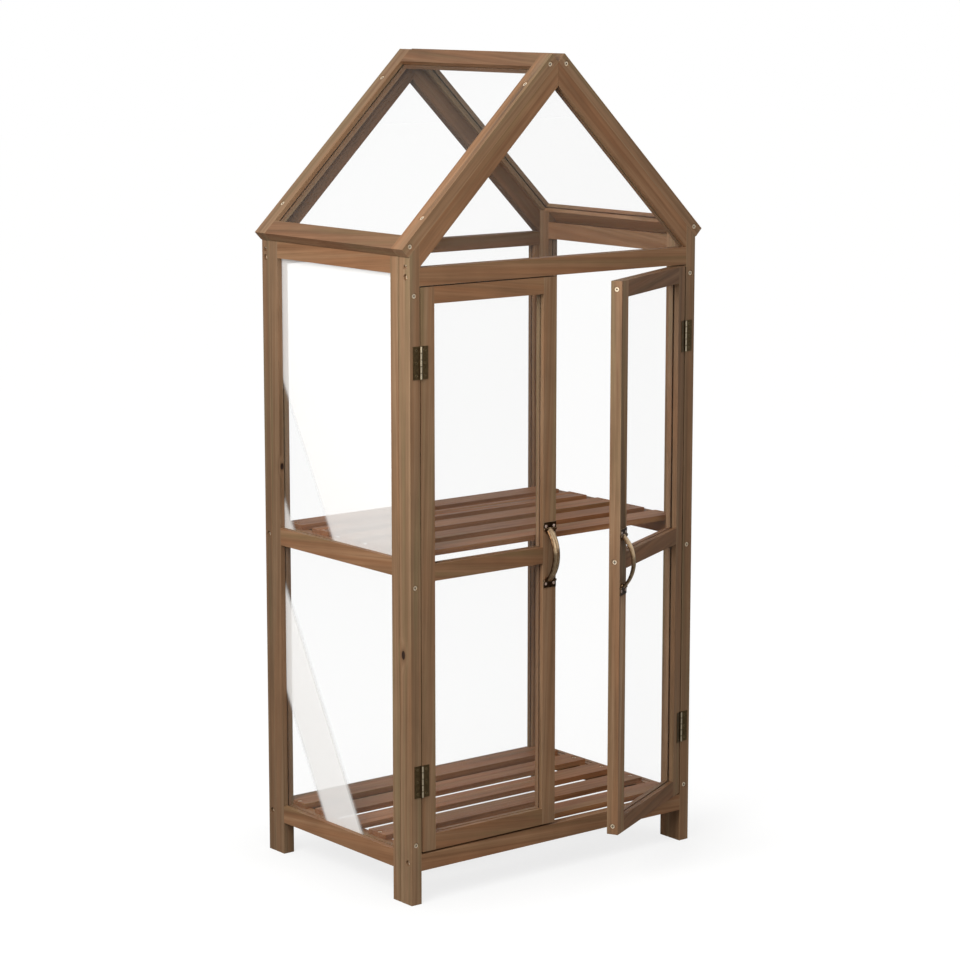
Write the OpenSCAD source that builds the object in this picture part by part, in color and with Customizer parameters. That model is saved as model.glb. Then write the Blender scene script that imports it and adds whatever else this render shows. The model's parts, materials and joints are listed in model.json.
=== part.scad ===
// Portable mini greenhouse: a softwood frame on four legs, two glazed doors,
// a glazed ridge roof and two slatted shelves.
// X runs left to right, Y runs front to back and Z is up.
// The origin is on the ground, midway between the four posts.

/* [Body] */
// Outer width over the posts
body_w = 600; // [500:1:900]
// Outer depth over the posts
body_d = 405; // [340:1:600]
// Height of the eave line, the top edge of the front rail
eave_h = 1029; // [850:1:1300]
// Height of the bottom rails above the ground
leg_h = 55; // [30:1:120]

/* [Timber] */
// Thickness of the posts and rails
board_t = 20; // [18:0.5:28]
// Width of the planed battens
board_w = 29; // [27:0.5:40]
// Width of the narrower board in each post
narrow_w = 20; // [18:0.5:30]
// Width of the side frames' back stiles
back_stile_w = 24.5; // [22:0.5:34]
// Width of the back top rail
back_top_w = 24; // [22:0.5:40]
// Thickness of the front bottom rail
sill_t = 17; // [15:0.5:20]
// How far the front bottom rail's top edge lies below those of the side rails
sill_drop = 1.5; // [0:0.5:4]
// Width of the slim stiles beside the back panes
slim_w = 10; // [8:0.5:20]
// Thickness of the slim stiles
slim_t = 17; // [10:0.5:20]
// Open seam between boards that meet side by side
seam = 0.4; // [0.2:0.1:1]
// Play between the side top rails and the underside of the roof
roof_play = 0.2; // [0.1:0.1:1]

/* [Roof] */
// Pitch of both slopes
roof_pitch = 44.4; // [35:0.1:50]
// Width of the gable rafters, square to the slope
rafter_w = 27; // [24:0.5:40]
// Thickness of the roof slope frames
slope_t = 18; // [15:0.5:25]
// Width of the stiles and rails of the slope frames
slope_w = 28.5; // [24:0.5:40]
// Overhang of the slope frames past the posts, along the slope
eave_over = 2; // [0:0.5:30]
// Gap between the two slope frames at the ridge
ridge_gap = 0.4; // [0.2:0.1:3]

/* [Doors] */
// Thickness of the doors
door_t = 19; // [16:0.5:20]
// Width of the door stiles and rails
door_board_w = 27; // [27:0.5:36]
// Gap between a door and the posts and rails around it
door_gap = 2; // [1.5:0.1:4]
// Gap where the two doors meet
meeting_gap = 3; // [2:0.1:6]
// How far the left door stands open, in degrees
left_open = 0; // [0:0.5:170]
// How far the right door stands open, in degrees
right_open = 26.5; // [0:0.5:170]

/* [Hinges] */
// Height of a hinge
hinge_h = 52.5; // [45:0.5:70]
// Distance from the ends of a door to the middle of its hinges
hinge_in = 118; // [60:1:200]
// Width of a hinge leaf from the pin's centre to its edge
leaf_w = 14.6; // [13:0.1:18]
// Thickness of the hinge leaves
leaf_t = 1; // [0.8:0.1:1.5]
// Outer radius of the knuckles
knuckle_r = 2.4; // [2.1:0.1:3]
// Radius of the hinge pins
pin_r = 1.2; // [0.9:0.05:1.4]
// Radial running clearance of the pins
pin_clear = 0.05; // [0.02:0.01:0.09]
// Axial gap between knuckles
knuckle_gap = 0.25; // [0.1:0.05:0.5]
// Distance from the middle of a hinge to its outer screws
hinge_screw_z = 20; // [14:0.5:21]

/* [Handles] */
// Overall height of a bow handle
handle_h = 109.5; // [90:0.5:130]
// Width of the handle plates
plate_w = 26.5; // [24:0.5:27]
// Height of the handle plates
plate_h = 13.5; // [10:0.5:16]
// Thickness of the handle plates
plate_t = 1.5; // [1:0.1:3]
// Width of the bow
bow_w = 15.5; // [10:0.1:17]
// Thickness of the bow at its crown
bow_t = 4; // [3:0.1:5]
// How far the bow stands out from the door
bow_out = 22; // [18:0.5:30]
// Distance between the two screws of a plate
plate_screw_x = 16.7; // [14:0.1:20]
// Thickness of the flare between a plate and the bow
flare_t = 3; // [2:0.1:4]

/* [Panes] */
// Thickness of the clear panes
pane_t = 2.4; // [2:0.1:4]
// Side play of a pane in its groove
groove_play = 0.3; // [0.1:0.05:0.6]
// Depth of the pane grooves
groove_d = 6; // [4:0.5:7]
// Play between the edge of a pane and the bottom of its groove
edge_play = 1; // [0.3:0.1:2]

/* [Shelves] */
// Slats in each shelf
slat_n = 5; // [4:1:6]
// Width of a shelf slat
slat_w = 46.5; // [35:0.5:54]
// Thickness of a shelf slat
slat_t = 9; // [7:0.5:14]
// Height of the slat tops above the side rails
slat_rise = 7.5; // [2:0.5:10]
// Gap between the back of the doors and the first slat
slat_front_gap = 3; // [1:0.5:10]
// Gap between the last slat and the back rails
slat_back_gap = 10.5; // [2:0.5:40]
// End play of the slats between the posts
slat_play = 0.5; // [0.2:0.1:3]
// Width of the shelf battens
batten_w = 14; // [12:0.5:25]
// Height of the shelf battens
batten_h = 24; // [18:0.5:25]
// End play of the shelf battens
batten_play = 0.5; // [0.2:0.1:3]

/* [Screws] */
// Shank radius of the wood screws
screw_r = 1.75; // [1.5:0.05:2.25]
// Head radius of the wood screws
head_r = 4; // [3:0.1:4.3]
// How much wider than their heads the counterbores are, in radius
bore_play = 0.9; // [0.1:0.1:1.2]
// Shank radius of the hinge and handle screws
small_r = 1.2; // [1:0.05:1.5]
// Head radius of the hinge and handle screws
small_head_r = 2.4; // [2:0.1:2.8]
// Length of the hinge screws
small_l = 12; // [8:0.5:14]
// Clearance between a screw and its hole
hole_clear = 0.1; // [0.05:0.01:0.3]
// Depth of the counterbores in the sides of the posts
deep_recess = 4; // [2:0.5:6]
// Depth at which the other heads sit below the wood
face_recess = 1; // [0.4:0.1:2]
// Bite of a screw in the end of a rail
rail_bite = 24; // [14:1:40]
// Bite of the heel screws in the rafters
heel_bite = 30; // [15:1:45]
// Wood left ahead of the tip of a screw
tip_wood = 3; // [1.5:0.5:6]
// Offset of the corner screws from the side rails
corner_off = 15; // [8:1:40]
// Distance of the roof face screws from the ends of a slope
roof_screw_in = 66.5; // [40:0.5:120]
// Distance of the roof face screws from the gable faces
roof_screw_y = 12; // [6:0.5:14]

/* [Hidden] */

$fn = 48;
left = -1;
right = 1;
margin = 1;

// Faces of the body
x_out = -body_w / 2;
x_in = x_out + board_t;
y_front = -body_d / 2;
y_back = body_d / 2;
post_d = board_w + narrow_w;
y_front_post = y_front + post_d;
y_back_post = y_back - narrow_w - back_stile_w;
y_rear_rail = y_back - board_t;

// Roof lines
rise = tan(roof_pitch);
slant = cos(roof_pitch);
z_heel = eave_h + rafter_w / slant;
z_post = z_heel - board_t * rise;
z_apex = eave_h - x_in * rise;

// Rail edges
z_low = leg_h + board_w;
z_side = z_post - roof_play;
z_mid = (leg_h + z_side) / 2;

// Doors, drawn closed on the left
x_door = x_in + door_gap;
x_free = -meeting_gap / 2;
z_door = z_low + door_gap;
z_door_top = eave_h - board_w - door_gap;
z_door_mid = (z_door + z_door_top) / 2;
x_pin = x_in + door_gap / 2;
y_pin = y_front - knuckle_r;
x_handle = x_free - door_board_w / 2;

// Shelves
z_low_shelf = z_low + slat_rise;
z_mid_shelf = z_mid + board_w / 2 + slat_rise;
y_slat = y_front + door_t + slat_front_gap;
y_slat_end = y_rear_rail - slat_back_gap;
slat_pitch = (y_slat_end - slat_w - y_slat) / (slat_n - 1);
x_batten = x_in + batten_w;

// Slope frames: s runs up the slope from the eave, and the upper face is at slope_t
x_eave = x_out - eave_over * slant;
z_eave = z_post - eave_over * sin(roof_pitch);
slope_l = (-ridge_gap / 2 - x_eave) / slant;

// Centres of the panes in the walls
x_pane = x_out + board_t / 2;
y_pane_front = y_front + board_t / 2;
y_pane_back = y_back - board_t / 2;
groove_w = pane_t + 2 * groove_play;
pane_in = groove_d - edge_play;

// Screw lengths
rail_screw_l = board_t - deep_recess + rail_bite;
heel_screw_l = board_t / slant - deep_recess + heel_bite;
corner_screw_l = post_d - groove_d - face_recess - tip_wood;
back_corner_screw_l = narrow_w + back_stile_w - groove_d - face_recess - tip_wood;
roof_screw_l = slope_t + rafter_w - groove_d - face_recess - tip_wood;
slat_screw_l = slat_t + batten_h - face_recess - tip_wood;
batten_screw_l = batten_w + board_t / 2 - groove_w / 2;
handle_screw_l = plate_t + (door_t - groove_w) / 2 - tip_wood / 2;

timber = "#8d6b4e";
timber_light = "#9a7859";
timber_dark = "#7b5b41";
clear = "#dfe8e8";
bronze = "#3a3026";
brass = "#8c7448";
steel = "#c2b49a";

// A straight board from one corner to the opposite one
module block(low, high) {
  translate(low) cube(high - low);
}

// Right-hand pieces mirror the left-hand ones
module flip(side) {
  if (side == right) mirror([1, 0, 0]) children();
  else children();
}

module both_sides() {
  for (side = [left, right]) flip(side) children();
}

// A flat outline stood up in the XZ plane, from y for a depth
module upright(y, depth) {
  translate([0, y + depth, 0]) rotate([90, 0, 0]) linear_extrude(depth) children();
}

// Lays its children on a roof slope
module on_slope(side) {
  flip(side) translate([x_eave, y_front, z_eave]) rotate([0, -roof_pitch, 0]) children();
}

// Turns a door, drawn closed on the left, about its hinge pins
module on_door(side) {
  open = side == left ? left_open : right_open;
  flip(side)
    translate([x_pin, y_pin, 0]) rotate([0, 0, -open]) translate([-x_pin, -y_pin, 0])
      children();
}

// A countersunk cross-head screw that points along Z, its head recessed below z = 0
module screw(length, recess = face_recess, r = screw_r, head = head_r) {
  cone = head - r;
  translate([0, 0, recess]) difference() {
    union() {
      cylinder(h = cone, r1 = head, r2 = r);
      cylinder(h = length, r = r);
    }
    for (turn = [0, 90]) rotate([0, 0, turn])
      translate([-head * 0.55, -head * 0.13, -margin]) cube([head * 1.1, head * 0.26, margin + cone * 0.7]);
  }
}

// The hole for such a screw
module drill(length, recess = face_recess, r = screw_r, head = head_r) {
  wide = head + hole_clear;
  narrow = r + hole_clear;
  translate([0, 0, -margin]) cylinder(h = recess + margin, r = head + bore_play);
  translate([0, 0, recess]) {
    cylinder(h = wide - narrow, r1 = wide, r2 = narrow);
    cylinder(h = length + hole_clear, r = narrow);
  }
}

// Screw places on the left half of the frame

module at_front_rail_ends() {
  for (z = [leg_h + board_w / 2, eave_h - board_w / 2])
    translate([x_out, y_pane_front, z]) rotate([0, 90, 0]) children();
}

module at_back_rail_ends() {
  for (z = [leg_h + board_w / 2, z_mid, eave_h - back_top_w / 2])
    translate([x_out, y_pane_back, z]) rotate([0, 90, 0]) children();
}

module at_heels() {
  for (y = [y_pane_front, y_pane_back])
    translate([x_out, y, (eave_h + z_heel) / 2 - board_t * rise]) rotate([0, 90 - roof_pitch, 0]) children();
}

module at_front_corners() {
  for (z = corner_heights()) translate([x_pane, y_front, z]) rotate([-90, 0, 0]) children();
}

module at_back_corners() {
  for (z = corner_heights()) translate([x_pane, y_back, z]) rotate([90, 0, 0]) children();
}

function corner_heights() =
  [z_low + corner_off, z_mid - board_w / 2 - corner_off, eave_h - board_w - corner_off];

function side_rail_heights() = [leg_h + board_w / 2, z_mid, z_side - board_w / 2];

module at_front_stile() {
  for (z = side_rail_heights())
    translate([x_pane, y_front + board_w + seam, z]) rotate([-90, 0, 0]) children();
}

module at_back_stile() {
  for (z = side_rail_heights())
    translate([x_pane, y_back - narrow_w - seam, z]) rotate([90, 0, 0]) children();
}

module at_battens() {
  for (z = [z_low_shelf, z_mid_shelf], i = [0, slat_n - 2])
    translate([x_batten, y_slat + (slat_w + slat_pitch) / 2 + i * slat_pitch, z - slat_t - batten_h / 2])
      rotate([0, -90, 0]) children();
}

module at_slat_ends(z) {
  for (i = [0 : slat_n - 1])
    translate([x_in + batten_w / 2, y_slat + slat_w / 2 + i * slat_pitch, z]) rotate([180, 0, 0]) children();
}

// Screw places on a roof slope and on a door

module at_roof_faces() {
  for (s = [roof_screw_in, slope_l - roof_screw_in], y = [roof_screw_y, body_d - roof_screw_y])
    translate([s, y, slope_t]) rotate([180, 0, 0]) children();
}

module at_roof_edges() {
  for (s = [slope_w / 2, slope_l - slope_w / 2]) {
    translate([s, 0, slope_t / 2]) rotate([-90, 0, 0]) children();
    translate([s, body_d, slope_t / 2]) rotate([90, 0, 0]) children();
  }
}

module at_door_edges() {
  for (z = [z_door + door_board_w / 2, z_door_mid, z_door_top - door_board_w / 2]) {
    translate([x_door, y_front + door_t / 2, z]) rotate([0, 90, 0]) children();
    translate([x_free, y_front + door_t / 2, z]) rotate([0, -90, 0]) children();
  }
}

// Hinge screws, on the post (side -1) or on the door (side 1) of the left hinges
module at_hinge_screws(side) {
  for (z = [z_door + hinge_in, z_door_top - hinge_in], dz = [-hinge_screw_z, 0, hinge_screw_z])
    translate([x_pin + side * (leaf_w + knuckle_r) / 2, y_front - leaf_t, z + dz])
      rotate([-90, 0, 0]) children();
}

module at_handle_screws() {
  for (up = [-1, 1], across = [-1, 1])
    translate([x_handle + across * plate_screw_x / 2, y_front - plate_t,
               z_door_mid + up * (handle_h - plate_h) / 2])
      rotate([-90, 0, 0]) children();
}

// Pane slots: the opening between boards, grown on all sides, for a pane or for its groove

module side_slot(low, high, thick, grow) {
  block([x_pane - thick / 2, y_front_post - grow, low - grow],
        [x_pane + thick / 2, y_back_post + grow, high + grow]);
}

module side_slots(thick, grow) {
  side_slot(z_low, z_mid - board_w / 2, thick, grow);
  side_slot(z_mid + board_w / 2, z_side - board_w, thick, grow);
}

module back_slots(thick, grow) {
  half = -x_in - slim_w + grow;
  for (span = [[z_low, z_mid - board_w / 2], [z_mid + board_w / 2, eave_h - back_top_w]])
    block([-half, y_pane_back - thick / 2, span[0] - grow],
          [half, y_pane_back + thick / 2, span[1] + grow]);
}

module gable_slot(y, thick, grow, play) {
  half = -x_in - play;
  up = grow / slant;
  upright(y - thick / 2, thick) polygon([
    [-half, eave_h - grow], [half, eave_h - grow], [half, eave_h + play * rise + up],
    [0, z_apex + up], [-half, eave_h + play * rise + up]
  ]);
}

module slope_slot(thick, grow) {
  block([slope_w - grow, slope_w - grow, (slope_t - thick) / 2],
        [slope_l - slope_w + grow, body_d - slope_w + grow, (slope_t + thick) / 2]);
}

module door_slots(thick, grow) {
  y = y_front + door_t / 2;
  for (span = [[z_door + door_board_w, z_door_mid - door_board_w / 2],
               [z_door_mid + door_board_w / 2, z_door_top - door_board_w]])
    block([x_door + door_board_w - grow, y - thick / 2, span[0] - grow],
          [x_free - door_board_w + grow, y + thick / 2, span[1] + grow]);
}

// Posts: two boards each, cut to the slope on top

module post_board(y, depth) {
  upright(y, depth) polygon([[x_out, 0], [x_in, 0], [x_in, z_heel], [x_out, z_post]]);
}

module front_post(side) {
  color(timber_light) flip(side) {
    difference() {
      post_board(y_front, board_w);
      at_front_rail_ends() drill(rail_screw_l, deep_recess);
      at_heels() drill(heel_screw_l, deep_recess);
      at_front_corners() drill(corner_screw_l);
      at_hinge_screws(left) drill(small_l, 0, small_r, small_head_r);
    }
    difference() {
      post_board(y_front + board_w + seam, narrow_w - seam);
      side_slots(groove_w, groove_d);
      at_front_corners() drill(corner_screw_l);
      at_front_stile() drill(narrow_w + rail_bite);
    }
  }
}

module back_post(side) {
  color(timber_light) flip(side) {
    difference() {
      post_board(y_back - narrow_w, narrow_w);
      at_back_rail_ends() drill(rail_screw_l, deep_recess);
      at_heels() drill(heel_screw_l, deep_recess);
      at_back_corners() drill(back_corner_screw_l);
    }
    difference() {
      post_board(y_back_post, back_stile_w - seam);
      side_slots(groove_w, groove_d);
      at_back_corners() drill(back_corner_screw_l);
      at_back_stile() drill(back_stile_w + rail_bite);
    }
  }
}

// Rails between the posts

module side_rail(side, low) {
  color(timber) flip(side) difference() {
    block([x_out, y_front_post, low], [x_in, y_back_post, low + board_w]);
    side_slots(groove_w, groove_d);
    at_front_stile() drill(narrow_w + rail_bite);
    at_back_stile() drill(back_stile_w + rail_bite);
    at_battens() drill(batten_screw_l);
  }
}

module front_rail(low, high, thick) {
  color(timber) difference() {
    block([x_in, y_front, low], [-x_in, y_front + thick, high]);
    gable_slot(y_pane_front, groove_w, groove_d, 0);
    both_sides() at_front_rail_ends() drill(rail_screw_l, deep_recess);
  }
}

module back_rail(low, high) {
  color(timber) difference() {
    block([x_in, y_rear_rail, low], [-x_in, y_back, high]);
    back_slots(groove_w, groove_d);
    gable_slot(y_pane_back, groove_w, groove_d, 0);
    both_sides() at_back_rail_ends() drill(rail_screw_l, deep_recess);
  }
}

module back_stiles(side) {
  color(timber_dark) flip(side) difference() {
    for (span = [[z_low, z_mid - board_w / 2], [z_mid + board_w / 2, eave_h - back_top_w]])
      block([x_in, y_pane_back - slim_t / 2, span[0]], [x_in + slim_w, y_pane_back + slim_t / 2, span[1]]);
    back_slots(groove_w, groove_d);
  }
}

// Panes in the walls

module side_panes(side) {
  color(clear, 0.35) flip(side) side_slots(pane_t, pane_in);
}

module back_panes() {
  color(clear, 0.35) back_slots(pane_t, pane_in);
}

module gable_pane(y) {
  color(clear, 0.35) gable_slot(y, pane_t, pane_in, edge_play);
}

// Gable rafters, one on each side of the ridge

module rafter(side, y) {
  x_top = -seam / 2;
  z_top = eave_h + (x_top - x_in) * rise;
  color(timber) flip(side) difference() {
    upright(y - board_t / 2, board_t) polygon([
      [x_in, eave_h], [x_top, z_top], [x_top, z_top + rafter_w / slant], [x_in, z_heel]
    ]);
    gable_slot(y, groove_w, groove_d, 0);
    at_heels() drill(heel_screw_l, deep_recess);
    on_slope(left) at_roof_faces() drill(roof_screw_l);
  }
}

// Slope frames of the roof

module slope_stile(side, y) {
  color(timber) on_slope(side) difference() {
    block([0, y, 0], [slope_l, y + slope_w, slope_t]);
    slope_slot(groove_w, groove_d);
    at_roof_faces() drill(roof_screw_l);
    at_roof_edges() drill(slope_w + rail_bite);
  }
}

module slope_rail(side, s) {
  color(timber) on_slope(side) difference() {
    block([s, slope_w, 0], [s + slope_w, body_d - slope_w, slope_t]);
    slope_slot(groove_w, groove_d);
    at_roof_edges() drill(slope_w + rail_bite);
  }
}

module slope_pane(side) {
  color(clear, 0.35) on_slope(side) slope_slot(pane_t, pane_in);
}

// Shelves

module shelf_battens() {
  color(timber_dark) both_sides() difference() {
    for (z = [z_low_shelf, z_mid_shelf])
      block([x_in, y_front + board_t + batten_play, z - slat_t - batten_h],
            [x_batten, y_rear_rail - batten_play, z - slat_t]);
    at_battens() drill(batten_screw_l);
    for (z = [z_low_shelf, z_mid_shelf]) at_slat_ends(z) drill(slat_screw_l);
  }
}

module shelf_slats(z) {
  color(timber_dark) difference() {
    for (i = [0 : slat_n - 1])
      block([x_in + slat_play, y_slat + i * slat_pitch, z - slat_t],
            [-x_in - slat_play, y_slat + i * slat_pitch + slat_w, z]);
    both_sides() at_slat_ends(z) drill(slat_screw_l);
  }
}

// Doors

module door_hinge_stile(side) {
  color(timber) on_door(side) difference() {
    block([x_door, y_front, z_door], [x_door + door_board_w, y_front + door_t, z_door_top]);
    door_slots(groove_w, groove_d);
    at_door_edges() drill(door_board_w + rail_bite);
    at_hinge_screws(right) drill(small_l, 0, small_r, small_head_r);
  }
}

module door_free_stile(side) {
  color(timber) on_door(side) difference() {
    block([x_free - door_board_w, y_front, z_door], [x_free, y_front + door_t, z_door_top]);
    door_slots(groove_w, groove_d);
    at_door_edges() drill(door_board_w + rail_bite);
    at_handle_screws() drill(handle_screw_l, 0, small_r, small_head_r);
  }
}

module door_rail(side, low) {
  color(timber) on_door(side) difference() {
    block([x_door + door_board_w, y_front, low],
          [x_free - door_board_w, y_front + door_t, low + door_board_w]);
    door_slots(groove_w, groove_d);
    at_door_edges() drill(door_board_w + rail_bite);
  }
}

module door_panes(side) {
  color(clear, 0.35) on_door(side) door_slots(pane_t, pane_in);
}

// A bow handle: a crowned bow between two plates, with a coved flare at each end
module door_handle(side) {
  crown_r = (bow_w * bow_w / 4 + bow_t * bow_t) / (2 * bow_t);
  half = handle_h / 2 - plate_h;
  flat_out = bow_out - bow_t;
  back = (half * half - flat_out * flat_out) / (2 * flat_out);
  inner_r = back + flat_out;
  sweep = acos(back / (inner_r + bow_t)) + 1;
  cove = (plate_w - bow_w) / 2;
  color(brass) on_door(side) difference() {
    union() {
      translate([x_handle, y_front + back, z_door_mid]) rotate([0, 90, 0])
        rotate([0, 0, -90 - sweep]) rotate_extrude(angle = 2 * sweep, $fn = 96) intersection() {
          translate([inner_r + bow_t - crown_r, 0]) circle(crown_r);
          translate([inner_r, -bow_w]) square([bow_w, 2 * bow_w]);
        }
      for (up = [-1, 1]) translate([x_handle, y_front, z_door_mid]) scale([1, 1, up]) {
        block([-plate_w / 2, -plate_t, half], [plate_w / 2, 0, half + plate_h]);
        upright(-flare_t, flare_t) difference() {
          translate([-plate_w / 2, half - cove]) square([plate_w, cove + plate_h / 4]);
          for (across = [-1, 1]) translate([across * plate_w / 2, half - cove]) circle(cove);
        }
      }
    }
    block([x_handle - plate_w, y_front, z_door_mid - handle_h],
          [x_handle + plate_w, y_front + back + inner_r, z_door_mid + handle_h]);
    at_handle_screws() drill(handle_screw_l, 0, small_r, small_head_r);
  }
}

// Hinges: five knuckles, three on the post and two on the door

module hinge_leaf(side, own, z) {
  knuckle_h = hinge_h / 5;
  gap = knuckle_r + knuckle_gap;
  low = z - hinge_h / 2;
  difference() {
    union() {
      block([x_pin + (side == left ? -leaf_w : gap), y_front - leaf_t, low],
            [x_pin + (side == left ? -gap : leaf_w), y_front, low + hinge_h]);
      for (i = own) {
        bottom = low + i * knuckle_h + (i > 0 ? knuckle_gap / 2 : 0);
        top = low + (i + 1) * knuckle_h - (i < 4 ? knuckle_gap / 2 : 0);
        block([x_pin + (side == left ? -gap : 0), y_front - leaf_t, bottom],
              [x_pin + (side == left ? 0 : gap), y_front, top]);
        translate([x_pin, y_pin, bottom]) cylinder(h = top - bottom, r = knuckle_r);
      }
    }
    translate([x_pin, y_pin, low - margin]) cylinder(h = hinge_h + 2 * margin, r = pin_r + pin_clear);
    at_hinge_screws(side) drill(small_l, 0, small_r, small_head_r);
  }
}

module at_hinges() {
  for (z = [z_door + hinge_in, z_door_top - hinge_in]) translate([0, 0, z]) children();
}

module post_hinge_leaves() {
  color(bronze) both_sides() for (z = [z_door + hinge_in, z_door_top - hinge_in])
    hinge_leaf(left, [0, 2, 4], z);
}

module door_hinge_leaves(side) {
  color(bronze) on_door(side) for (z = [z_door + hinge_in, z_door_top - hinge_in])
    hinge_leaf(right, [1, 3], z);
}

module hinge_pins() {
  color(steel) both_sides() at_hinges()
    translate([x_pin, y_pin, -hinge_h / 2]) cylinder(h = hinge_h, r = pin_r);
}

// Screws

module frame_screws() {
  color(steel) both_sides() {
    at_front_rail_ends() screw(rail_screw_l, deep_recess);
    at_back_rail_ends() screw(rail_screw_l, deep_recess);
    at_heels() screw(heel_screw_l, deep_recess);
    at_front_corners() screw(corner_screw_l);
    at_back_corners() screw(back_corner_screw_l);
    at_front_stile() screw(narrow_w - seam + rail_bite - face_recess);
    at_back_stile() screw(back_stile_w - seam + rail_bite - face_recess);
    at_battens() screw(batten_screw_l);
    for (z = [z_low_shelf, z_mid_shelf]) at_slat_ends(z) screw(slat_screw_l);
    on_slope(left) at_roof_faces() screw(roof_screw_l);
    on_slope(left) at_roof_edges() screw(slope_w + rail_bite - face_recess);
    at_hinge_screws(left) screw(small_l, 0, small_r, small_head_r);
  }
}

module door_screws(side) {
  color(steel) on_door(side) {
    at_door_edges() screw(door_board_w + rail_bite - face_recess);
    at_hinge_screws(right) screw(small_l, 0, small_r, small_head_r);
    at_handle_screws() screw(handle_screw_l, 0, small_r, small_head_r);
  }
}

front_post(left);  // front_left_post
front_post(right);  // front_right_post
back_post(left);  // back_left_post
back_post(right);  // back_right_post
side_rail(left, leg_h);  // left_bottom_rail
side_rail(left, z_mid - board_w / 2);  // left_mid_rail
side_rail(left, z_side - board_w);  // left_top_rail
side_rail(right, leg_h);  // right_bottom_rail
side_rail(right, z_mid - board_w / 2);  // right_mid_rail
side_rail(right, z_side - board_w);  // right_top_rail
front_rail(leg_h, z_low - sill_drop, sill_t);  // front_bottom_rail
front_rail(eave_h - board_w, eave_h, board_t);  // front_top_rail
back_rail(leg_h, z_low);  // back_bottom_rail
back_rail(z_mid - board_w / 2, z_mid + board_w / 2);  // back_mid_rail
back_rail(eave_h - back_top_w, eave_h);  // back_top_rail
back_stiles(left);  // back_left_stiles
back_stiles(right);  // back_right_stiles
side_panes(left);  // left_panes
side_panes(right);  // right_panes
back_panes();
rafter(left, y_pane_front);  // front_left_rafter
rafter(right, y_pane_front);  // front_right_rafter
rafter(left, y_pane_back);  // back_left_rafter
rafter(right, y_pane_back);  // back_right_rafter
gable_pane(y_pane_front);  // front_gable_pane
gable_pane(y_pane_back);  // back_gable_pane
slope_stile(left, 0);  // roof_left_front_stile
slope_stile(left, body_d - slope_w);  // roof_left_back_stile
slope_rail(left, 0);  // roof_left_eave_rail
slope_rail(left, slope_l - slope_w);  // roof_left_ridge_rail
slope_pane(left);  // roof_left_pane
slope_stile(right, 0);  // roof_right_front_stile
slope_stile(right, body_d - slope_w);  // roof_right_back_stile
slope_rail(right, 0);  // roof_right_eave_rail
slope_rail(right, slope_l - slope_w);  // roof_right_ridge_rail
slope_pane(right);  // roof_right_pane
shelf_battens();
shelf_slats(z_low_shelf);  // bottom_shelf_slats
shelf_slats(z_mid_shelf);  // mid_shelf_slats
door_hinge_stile(left);  // left_door_hinge_stile
door_free_stile(left);  // left_door_free_stile
door_rail(left, z_door);  // left_door_bottom_rail
door_rail(left, z_door_mid - door_board_w / 2);  // left_door_mid_rail
door_rail(left, z_door_top - door_board_w);  // left_door_top_rail
door_panes(left);  // left_door_panes
door_hinge_stile(right);  // right_door_hinge_stile
door_free_stile(right);  // right_door_free_stile
door_rail(right, z_door);  // right_door_bottom_rail
door_rail(right, z_door_mid - door_board_w / 2);  // right_door_mid_rail
door_rail(right, z_door_top - door_board_w);  // right_door_top_rail
door_panes(right);  // right_door_panes
door_handle(left);  // left_door_handle
door_handle(right);  // right_door_handle
post_hinge_leaves();
door_hinge_leaves(left);  // left_door_hinge_leaves
door_hinge_leaves(right);  // right_door_hinge_leaves
hinge_pins();
frame_screws();
door_screws(left);  // left_door_screws
door_screws(right);  // right_door_screws
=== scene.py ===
# %% [markdown]
# A small greenhouse is cabinet work: planed fir battens, brown glaze, clear panes, a few
# brass-coloured fittings. Its construction is already solid geometry, so this lesson only
# dresses it: the boards get eased edges and a grain, the panes become clear acrylic, the
# handles are modelled again with softer forms, and the screws and hinges get their metal.

# %% Load the frame
import json
import math

import bmesh
import bpy
import numpy as np
from mathutils import Matrix, Vector


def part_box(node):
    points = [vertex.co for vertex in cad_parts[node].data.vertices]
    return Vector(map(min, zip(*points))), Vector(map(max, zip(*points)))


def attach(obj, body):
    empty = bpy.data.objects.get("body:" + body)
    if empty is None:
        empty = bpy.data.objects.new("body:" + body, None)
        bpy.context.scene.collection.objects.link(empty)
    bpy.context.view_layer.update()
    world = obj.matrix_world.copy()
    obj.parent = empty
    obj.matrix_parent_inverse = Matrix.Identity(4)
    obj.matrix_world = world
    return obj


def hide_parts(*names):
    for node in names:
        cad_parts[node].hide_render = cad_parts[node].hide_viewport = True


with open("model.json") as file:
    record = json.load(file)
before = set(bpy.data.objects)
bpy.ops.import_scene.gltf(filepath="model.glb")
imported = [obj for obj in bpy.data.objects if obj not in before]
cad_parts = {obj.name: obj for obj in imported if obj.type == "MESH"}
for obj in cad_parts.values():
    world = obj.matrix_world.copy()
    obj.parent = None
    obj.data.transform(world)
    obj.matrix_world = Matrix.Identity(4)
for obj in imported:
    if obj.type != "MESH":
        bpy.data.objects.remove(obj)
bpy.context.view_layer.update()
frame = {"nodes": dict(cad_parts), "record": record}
MM = 0.001
print("nodes:", len(frame["nodes"]))

# %% [markdown]
# The camera stands at the front left, a little above the ridge, and looks ten degrees down. A
# long lens from nearly five metres keeps the uprights close to parallel.

# %% Camera
SENSOR = 36                  # mm
FAR = 100
CAMERA_AT = Vector((-2.9858, -3.7700, 1.4749))
CAMERA_AZIMUTH = math.radians(38.382)
CAMERA_DIP = math.radians(9.889)
CAMERA_LENS = 108.36


def new_object(name, data):
    """An object that holds some data, put in the scene."""
    made = bpy.data.objects.new(name, data)
    bpy.context.scene.collection.objects.link(made)
    return made


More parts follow.
